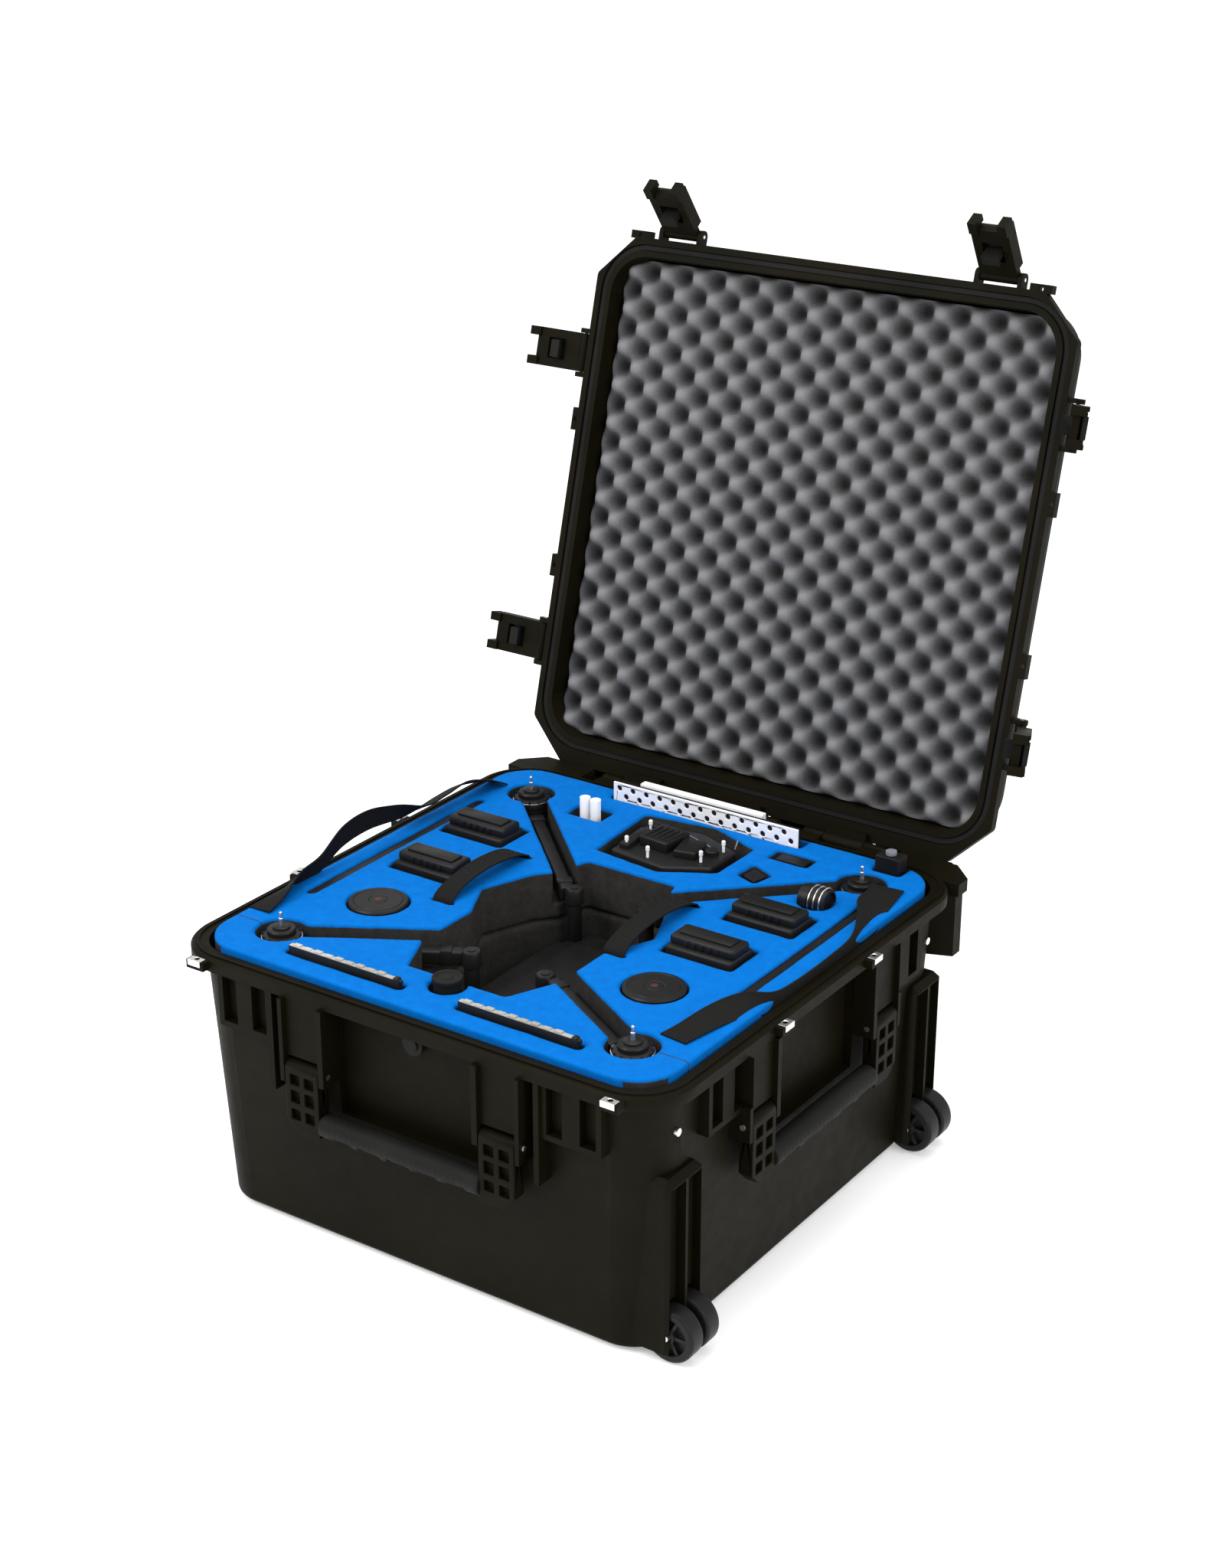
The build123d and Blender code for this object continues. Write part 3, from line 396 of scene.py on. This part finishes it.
class Form:
    """A mesh put together from turned forms and blocks, in the place where it stays."""

    def __init__(self):
        self.bm = bmesh.new()

    def turned(self, place, rings, axis="Z", segments=48):
        """A form of revolution from (radius, height) pairs; it starts and ends on the axis."""
        spin = {"X": Matrix.Rotation(math.radians(90), 4, "Y"), "Z": Matrix.Identity(4)}[axis]
        move = Matrix.Translation(place) @ spin
        loops = []
        for radius, height in rings:
            if radius == 0:
                loops.append([self.bm.verts.new(move @ Vector((0, 0, height)))])
                continue
            loop = []
            for i in range(segments):
                t = 2 * math.pi * i / segments
                point = Vector((radius * math.cos(t), radius * math.sin(t), height))
                loop.append(self.bm.verts.new(move @ point))
            loops.append(loop)
        for low, high in zip(loops, loops[1:]):
            for i in range(segments):
                j = (i + 1) % segments
                corners = [low[i % len(low)], low[j % len(low)], high[j % len(high)], high[i % len(high)]]
                unique = list(dict.fromkeys(corners))
                if len(unique) > 2:
                    self.bm.faces.new(unique)

    def block(self, low, high, edge=0.001, about=None, turn=0.0, segments=2):
        """A block between two corners with rounded edges, turned about an upright line by so many degrees."""
        made = bmesh.ops.create_cube(self.bm, size=1.0)["verts"]
        size = Vector(high) - Vector(low)
        middle = (Vector(high) + Vector(low)) / 2
        move = Matrix.Translation(middle) @ Matrix.Diagonal((*size, 1.0))
        if turn:
            centre = Vector(about or middle)
            spin = Matrix.Rotation(math.radians(turn), 4, "Z")
            move = Matrix.Translation(centre) @ spin @ Matrix.Translation(-centre) @ move
        bmesh.ops.transform(self.bm, matrix=move, verts=made)
        edges = list({e for v in made for e in v.link_edges})
        bmesh.ops.bevel(self.bm, geom=edges, offset=edge, segments=segments, profile=0.5, affect="EDGES")

    def piece(self, name, slot, body, *stands_for, sharp=32.0):
        bmesh.ops.recalc_face_normals(self.bm, faces=self.bm.faces)
        mesh = bpy.data.meshes.new(name)
        self.bm.to_mesh(mesh)
        self.bm.free()
        for poly in mesh.polygons:
            poly.use_smooth = True
        mesh.set_sharp_from_angle(angle=math.radians(sharp))
        obj = bpy.data.objects.new(name, mesh)
        bpy.context.collection.objects.link(obj)
        mesh.materials.append(MATERIALS[slot])
        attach(obj, body)
        if stands_for:
            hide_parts(*stands_for)
        return obj


# ---- foam ----
def soft_copy(node, name, slot, voxel):
    """A foam block cut with a hot wire: the CAD outline with rounded, slightly uneven edges."""
    obj = bpy.data.objects.new(name, NODES[node].data.copy())
    bpy.context.collection.objects.link(obj)
    obj.data.materials.clear()
    weld = obj.modifiers.new("weld", "WELD")
    weld.merge_threshold = WELD_GAP
    remesh = obj.modifiers.new("remesh", "REMESH")
    remesh.mode = "VOXEL"
    remesh.voxel_size = voxel
    soften = obj.modifiers.new("soften", "SMOOTH")
    soften.iterations = 2
    soften.factor = 0.5
    uneven = bpy.data.textures.new(name + "_uneven", "CLOUDS")
    uneven.noise_scale = 0.03
    sway = obj.modifiers.new("uneven", "DISPLACE")
    sway.texture = uneven
    sway.texture_coords = "LOCAL"
    sway.strength = 0.0009
    sway.mid_level = 0.5
    bpy.context.view_layer.update()
    ready = obj.evaluated_get(bpy.context.evaluated_depsgraph_get())
    mesh = bpy.data.meshes.new_from_object(ready)
    obj.modifiers.clear()
    obj.data = mesh
    for poly in mesh.polygons:
        poly.use_smooth = True
    mesh.materials.clear()
    mesh.materials.append(MATERIALS[slot])
    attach(obj, "base")
    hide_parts(node)


# ---- straps ----
STRAP_THICK = 0.0016
LOOP_WIDTH = 25


def between(p, q, r, u, t):
    """The Catmull-Rom value at t between q and r."""
    square = 2 * p - 5 * q + 4 * r - u
    cube = 3 * q - p - 3 * r + u
    return 0.5 * (2 * q + (r - p) * t + square * t * t + cube * t ** 3)


def spline(stations, steps):
    """Smooth values through the stations, each a tuple of numbers, with so many steps between two."""
    rows = [stations[0]] + list(stations) + [stations[-1]]
    out = []
    for k in range(1, len(rows) - 2):
        a, b, c, d = rows[k - 1:k + 3]
        for i in range(steps):
            t = i / steps
            out.append(tuple(between(*values, t) for values in zip(a, b, c, d)))
    out.append(tuple(stations[-1]))
    return out


def strap(name, stations):
    """Flat webbing: each station is x, y, z, the way across it as x, y, z, and its width, in mm."""
    verts, faces = [], []
    rows = [[v / 1000.0 for v in row[:3]] + [Vector(row[3:6]).normalized(), row[6] / 1000.0]
            for row in spline(stations, 10)]
    across = (-0.5, -0.485, -0.44, -0.22, 0.0, 0.22, 0.44, 0.485, 0.5)
    for k, (x, y, z, side, width) in enumerate(rows):
        before, after = rows[max(k - 1, 0)], rows[min(k + 1, len(rows) - 1)]
        ahead = Vector(after[:3]) - Vector(before[:3])
        up = side.cross(ahead).normalized()
        middle = Vector((x, y, z))
        for face in (1, -1):
            span = across if face > 0 else across[::-1]
            for share in span:
                swell = 0.35 if abs(share) > 0.49 else (0.62 if abs(share) > 0.46 else 0.5)
                verts.append(middle + side * (share * width) + up * (face * STRAP_THICK * swell))
    ring = 2 * len(across)
    for k in range(len(rows) - 1):
        for i in range(ring):
            a, b = k * ring + i, k * ring + (i + 1) % ring
            faces.append((a, b, b + ring, a + ring))
    last = (len(rows) - 1) * ring
    faces.append(tuple(range(ring))[::-1])
    faces.append(tuple(range(last, last + ring)))
    return mesh_piece(name, verts, faces, "webbing", "base")


def make_straps():
    """The two lift loops and the straps along the left and right edges."""
    for x, name in zip(LOOP_X, ("loop_left", "loop_right")):
        mid = x * 1000
        arch = ((-69, 286, 0), (-69, 300, 0), (-62, 307, 0), (-40, 314, 0.05), (0, 317.5, 0))
        arch += ((40, 314, -0.05), (62, 307, 0), (69, 300, 0), (69, 286, 0))
        rows = [(mid, y, z, 1, 0, lean, LOOP_WIDTH) for y, z, lean in arch]
        loop = strap(name, rows)
        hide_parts("webbing_loops")
    right = strap("strap_right", [
        (242, -188, 303.4, 1, -0.12, 0, 31), (246, -165, 304.2, 1, -0.12, 0, 31),
        (253, -128, 305.6, 0.95, -0.1, -0.2, 31), (266, -92, 305.0, 0.7, 0, -0.7, 28),
        (276.6, -62, 298, 0.15, 0, -1, 22), (278.0, -20, 295.5, 0, 0, -1, 21),
        (278.0, 40, 295.5, 0, 0, -1, 21), (276.8, 88, 297, 0.12, 0, -1, 23),
        (268, 128, 303, 0.65, 0, -0.75, 29), (256, 165, 305.6, 0.95, 0.1, -0.25, 35),
        (249, 200, 304.2, 1, 0.1, 0, 36), (246, 216, 303.4, 1, 0.1, 0, 36)])
    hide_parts("webbing_right")
    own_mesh(right)
    left = strap("strap_left", [
        (-261, -196, 303.4, 1, 0, 0.05, 27), (-263, -170, 306, 1, 0, 0.3, 26),
        (-267, -131, 312, 0.6, 0, 0.8, 24), (-269, -92, 313, 0.25, 0, 1, 23),
        (-270, -52, 330, 0.15, 0, 1, 26), (-270, -10, 334, 0.12, 0, 1, 25),
        (-269, 35, 327, 0.25, 0, 1, 21), (-267, 78, 318, 0.85, 0, 0.5, 21),
        (-266, 115, 320, 0.9, 0, 0.42, 21), (-265, 150, 322, 0.85, 0, 0.5, 22),
        (-263, 185, 314, 0.95, 0, 0.3, 24), (-261, 214, 303.4, 1, 0, 0, 26)])
    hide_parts("webbing_left")
    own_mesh(left)


# ---- the quadcopter ----
def make_motors():
    """Ribbed motor bells with a bright ring and shaft."""
    foot = 0.2625
    ribs = 12
    bell = [(0, 0), (0.0225, 0), (0.0238, 0.0014), (0.0238, 0.0095), (0.0225, 0.011), (0.0192, 0.0118)]
    bell += [(0.0192, 0.0150), (0.0206, 0.0158), (0.0209, 0.0170), (0.0209, 0.0225), (0.0203, 0.0229)]
    bell += [(0.0203, 0.0240), (0.0209, 0.0244), (0.0209, 0.0318), (0.0198, 0.0336), (0.0165, 0.0350)]
    bell += [(0.0150, 0.0352), (0.0150, 0.0395), (0.0138, 0.0412), (0, 0.0415)]
    cap = [(0, 0), (0.0088, 0), (0.0092, 0.0005), (0.0092, 0.0018), (0.0080, 0.0026), (0.0034, 0.0030)]
    cap += [(0, 0.0030)]
    shaft = [(0, 0), (0.0024, 0), (0.0024, 0.0078), (0.0017, 0.0084), (0.0017, 0.0140), (0.0010, 0.0150)]
    shaft += [(0, 0.0152)]
    ring = [(0, 0), (0.0205, 0), (0.0213, 0.0003), (0.0213, 0.0009), (0.0205, 0.0012), (0, 0.0012)]
    dark, bright = Form(), Form()
    for sx in (-1, 1):
        for sy in (-1, 1):
            x, y = sx * MOTOR, sy * MOTOR
            dark.turned((x, y, foot), bell)
            for i in range(ribs):
                low = (x + 0.0186, y - 0.0012, foot + 0.0305)
                high = (x + 0.0207, y + 0.0012, foot + 0.0352)
                dark.block(low, high, 0.0004, (x, y, 0), i * 360 / ribs)
            dark.turned((x, y, 0.3036), cap)
            bright.turned((x, y, 0.3062), shaft)
            bright.turned((x, y, 0.2938), ring)
    dark.piece("motor_bells", "kit_black", "base", "drone_motors")
    bright.piece("motor_shafts", "steel", "base", "drone_motor_caps")


def make_arms():
    """Square carbon tubes with a clamp at each end and a hub over the body."""
    hub = [(0, 0), (0.0095, 0), (0.0100, 0.0006), (0.0100, 0.0150), (0.0088, 0.0172)]
    hub += [(0.0045, 0.0176), (0.0045, 0.0184), (0, 0.0184)]
    axis_z = 0.277
    motor_gap = 0.0236
    form = Form()
    for sx in (-1, 1):
        for sy in (-1, 1):
            start = Vector((sx * 0.055, -0.120 if sy < 0 else 0.060, axis_z))
            motor = Vector((sx * MOTOR, sy * MOTOR, axis_z))
            run = motor - start
            turn = math.degrees(math.atan2(run.y, run.x))
            far = run.length - motor_gap
            low, high = start + Vector((0, -0.0075, -0.0078)), start + Vector((far, 0.0075, 0.0078))
            form.block(low, high, 0.0025, start, turn, segments=3)
            for a, b in ((0.012, 0.024), (far - 0.020, far - 0.006)):
                low, high = start + Vector((a, -0.0085, -0.0079)), start + Vector((b, 0.0085, 0.0092))
                form.block(low, high, 0.0012, start, turn)
            form.turned((start.x - sx * 0.009, start.y, 0.269), hub)
    form.piece("arm_tubes", "kit_black", "base", "drone_arms")


# ---- kit in the pockets ----
def make_discs():
    """Round cases with two turned grooves and a red dot in the middle."""
    case = [(0, 0), (0.0305, 0), (0.0318, 0.0012), (0.0318, 0.0178), (0.0304, 0.0194), (0.0272, 0.0198)]
    case += [(0.0266, 0.0192), (0.0256, 0.0192), (0.0250, 0.0198), (0.0108, 0.0200), (0.0100, 0.0194)]
    case += [(0.0086, 0.0194), (0.0080, 0.0200), (0, 0.0202)]
    button = [(0, 0), (0.0034, 0), (0.0038, 0.0002), (0.0034, 0.0005), (0, 0.0006)]
    lid, dot = Form(), Form()
    for x, y in DISC_SPOTS:
        lid.turned((x, y, 0.2835), case, segments=72)
        dot.turned((x, y, 0.3036), button, segments=24)
    lid.piece("case_lids", "kit_black", "base", "round_cases")
    dot.piece("case_dots", "kit_red", "base", "round_case_buttons")


def make_batteries():
    """Stepped packs with a flat plate on top and a row of short ribs along the front."""
    form = Form()
    for x, y in BATTERY_SPOTS:
        low, high = (x - 0.0390, y - 0.0220, POCKET_FLOOR), (x + 0.0390, y + 0.0220, 0.3060)
        form.block(low, high, 0.0032, segments=3)
        form.block((x - 0.0380, y - 0.0150, 0.3040), (x + 0.0380, y + 0.0170, 0.3155), 0.0036, segments=3)
        form.block((x - 0.0300, y - 0.0080, 0.3150), (x + 0.0300, y + 0.0110, 0.3178), 0.0010)
        for k in range(5):
            left = x - 0.020 + k * 0.009
            form.block((left, y - 0.0162, 0.3072), (left + 0.0045, y - 0.0146, 0.3130), 0.0005)
    form.piece("battery_packs", "kit_black", "base", "batteries")


def make_rails():
    """The two notched metal rails on their black bars, with a hooked right end."""
    front, back = -0.2492, -0.2432
    notches = 9
    bar, rail = Form(), Form()
    for start, end in ((-0.176, -0.036), (0.036, 0.176)):
        bar.block((start, front, 0.2756), (end, back, 0.3086), 0.0008)
        bar.block((end - 0.0070, -0.2500, 0.2900), (end - 0.0008, -0.2425, 0.3106), 0.0016, segments=3)
        bar.block((end - 0.0020, -0.2482, 0.3040), (end + 0.0030, -0.2445, 0.3090), 0.0012, segments=3)
        rail.block((start + 0.001, -0.2490, 0.3080), (end - 0.006, -0.2434, 0.3092), 0.0005)
        for k in range(notches):
            left = start + 0.006 + k * (end - start - 0.020) / notches
            rail.block((left, -0.2488, 0.3088), (left + 0.0085, -0.2436, 0.3108 - 0.0007 * (k % 2)), 0.0006)
    bar.piece("rail_bars", "kit_black", "base", "propeller_blades")
    rail.piece("rail_tops", "blade_grey", "base")


def make_knob():
    """A capped knob with a dished top."""
    form = Form()
    rings = [(0, 0), (0.0135, 0), (0.0140, 0.0006), (0.0140, 0.0255), (0.0152, 0.0265), (0.0155, 0.0275)]
    rings += [(0.0155, 0.0305), (0.0146, 0.0315), (0.0118, 0.0313), (0.0112, 0.0305), (0.0060, 0.0303)]
    rings += [(0.0050, 0.0311), (0, 0.0314)]
    form.turned((0, -0.218, 0.2801), rings)
    form.piece("nose_knob", "rubber", "base", "front_knob")


def make_lens():
    """A barrel lying on its side, with three bright rings round it."""
    barrel = [(0, 0), (0.0130, 0), (0.0142, 0.0010), (0.0142, 0.0050), (0.0158, 0.0056), (0.0158, 0.0120)]
    barrel += [(0.0150, 0.0124), (0.0150, 0.0300), (0.0140, 0.0318), (0.0118, 0.0322), (0.0110, 0.0290)]
    barrel += [(0, 0.0286)]
    ring = [(0, 0), (0.0152, 0), (0.0163, 0.0004), (0.0163, 0.0012), (0.0152, 0.0016), (0, 0.0016)]
    dark, bright = Form(), Form()
    axis_y, axis_z = 0.146, 0.3045
    dark.turned((0.184, axis_y, axis_z), barrel, axis="X")
    for x in (0.1975, 0.2040, 0.2105):
        bright.turned((x, axis_y, axis_z), ring, axis="X")
    dark.block((0.186, 0.134, 0.2706), (0.214, 0.158, 0.2960), 0.003, segments=3)
    dark.piece("lens_body", "kit_black", "base", "lens_barrel")
    bright.piece("lens_rings", "steel", "base")


def make_controller():
    """The handset: a slab with a raised screen block, two dials, ribs and white-tipped pins."""
    dial = [(0, 0), (0.0075, 0), (0.0078, 0.0004), (0.0078, 0.0060), (0.0066, 0.0072), (0, 0.0074)]
    pin = [(0, 0), (0.0016, 0), (0.0016, 0.0080), (0.0022, 0.0086), (0.0022, 0.0128), (0.0016, 0.0136)]
    pin += [(0, 0.0138)]
    deck = 0.2985
    dark, pins, metal = Form(), Form(), Form()
    slab = [(-0.056, 0.142), (0.018, 0.134), (0.062, 0.160), (0.062, 0.212), (0.008, 0.234)]
    slab += [(-0.060, 0.224)]
    under = [dark.bm.verts.new((x, y, POCKET_FLOOR)) for x, y in slab]
    over = [dark.bm.verts.new((x, y, 0.2990)) for x, y in slab]
    dark.bm.faces.new(under[::-1])
    dark.bm.faces.new(over)
    for i in range(len(slab)):
        j = (i + 1) % len(slab)
        dark.bm.faces.new((under[i], under[j], over[j], over[i]))
    bmesh.ops.bevel(dark.bm, geom=dark.bm.edges[:], offset=0.0035, segments=3, profile=0.5, affect="EDGES")
    dark.block((-0.034, 0.166, 0.2980), (0.004, 0.208, 0.3110), 0.0022, turn=-6, segments=3)
    dark.block((0.008, 0.164, 0.2980), (0.034, 0.200, 0.3075), 0.0020, turn=12, segments=3)
    dark.block((-0.052, 0.150, 0.2980), (-0.040, 0.200, 0.3050), 0.0016, turn=4)
    for k in range(5):
        low, high = (-0.030 + k * 0.007, 0.170, 0.3105), (-0.0265 + k * 0.007, 0.200, 0.3120)
        dark.block(low, high, 0.0005, turn=-6)
    for x, y in ((0.044, 0.190), (-0.046, 0.214)):
        dark.turned((x, y, deck), dial, segments=32)
    for x, y in ((-0.044, 0.156), (-0.010, 0.146), (0.044, 0.168), (0.050, 0.204), (-0.046, 0.206)):
        pins.turned((x, y, deck), pin, segments=20)
    metal.block((-0.024, 0.2100, 0.3000), (0.046, 0.2118, 0.3018), 0.0006, turn=-20)
    metal.block((0.052, 0.214, 0.2990), (0.0535, 0.238, 0.3005), 0.0005, turn=24)
    dark.piece("handset_body", "kit_black", "base", "controller_body")
    pins.piece("handset_pins", "kit_white", "base", "controller_sticks")
    metal.piece("handset_rods", "steel", "base")


def make_grips():
    """Moulded grips: a full, faintly ribbed sleeve with five shallow dents along its lower front."""
    half = 0.098
    grip_y, grip_z = -0.295, 0.151
    dents = (-0.070, -0.035, 0.0, 0.035, 0.070)
    dent_half = 0.0125
    dent_depth = 0.72
    ribs = 26
    rings = [(0, -half), (0.0112, -half), (0.0122, -half + 0.0012)]
    for k in range(ribs):
        at = -half + 0.006 + k * (2 * half - 0.012) / (ribs - 1)
        bulge = 0.0010 * math.cos(math.pi * at / (2 * half))
        rings += [(0.0118 + bulge, at - 0.0024), (0.0121 + bulge, at - 0.0012), (0.0121 + bulge, at + 0.0012)]
    rings += [(0.0122, half - 0.0012), (0.0112, half), (0, half)]
    for face, turn in HANDLE_TURN.items():
        form = Form()
        form.turned((0, grip_y, grip_z), rings, axis="X", segments=40)
        for vert in form.bm.verts:
            angle = math.degrees(math.atan2(vert.co.z - grip_z, -(vert.co.y - grip_y)))
            if -75 < angle < -20 and any(abs(vert.co.x - d) < dent_half for d in dents):
                vert.co.y = grip_y + (vert.co.y - grip_y) * dent_depth
                vert.co.z = grip_z + (vert.co.z - grip_z) * dent_depth
        spin = Matrix.Rotation(math.radians(turn), 4, "Z")
        bmesh.ops.transform(form.bm, matrix=spin, verts=form.bm.verts)
        form.piece("grip_sleeve_" + face, "rubber", "handle_" + face, "handle_grip_" + face, sharp=50.0)


make_camera()
make_studio()
dress_frame()
egg_crate()
soft_copy("foam_tray", "tray_foam", "blue_foam", 0.0024)
soft_copy("foam_base", "base_foam", "dark_foam", 0.0050)
make_straps()
make_motors()
make_arms()
make_discs()
make_batteries()
make_rails()
make_knob()
make_lens()
make_controller()
make_grips()
